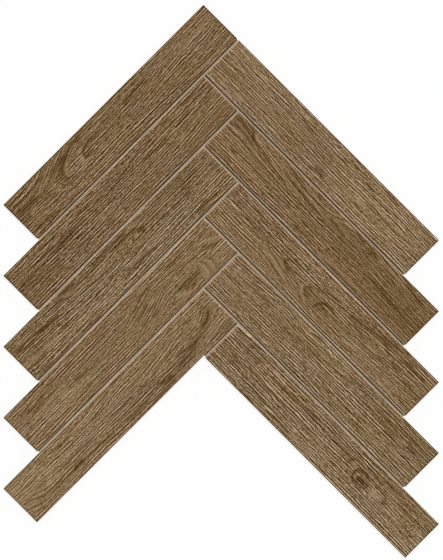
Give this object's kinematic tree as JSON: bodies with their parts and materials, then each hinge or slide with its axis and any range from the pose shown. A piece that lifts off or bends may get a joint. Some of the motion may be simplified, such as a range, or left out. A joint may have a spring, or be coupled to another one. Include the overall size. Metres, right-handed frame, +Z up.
{
  "type": "herringbone mosaic tile sheet",
  "caption": "Flat herringbone sheet of wood-look porcelain strips with narrow open joints, bonded to a backing mesh and ready to set in adhesive on a floor or wall.",
  "frame": {"origin": "middle of the sheet's box, on the underside of the backing mesh, where it meets the floor", "axes": "+Z up out of the printed faces, +Y towards the apex of the zigzag, +X to the right seen from above"},
  "size_m": [0.3518, 0.4466, 0.0098],
  "materials": {
    "porcelain": "matt digital print of brown oak over a shallow brushed-grain relief, beige-brown body on the cut edges",
    "backing": "glass-fibre net bonded in a grey-beige adhesive film"
  },
  "bodies": {
    "root": {"strip_left_1": "porcelain", "strip_left_2": "porcelain", "strip_left_3": "porcelain", "strip_left_4": "porcelain", "strip_left_5": "porcelain", "strip_right_1": "porcelain", "strip_right_2": "porcelain", "strip_right_3": "porcelain", "strip_right_4": "porcelain", "strip_right_5": "porcelain", "backing_mesh": "backing"}
  },
  "joints": []
}
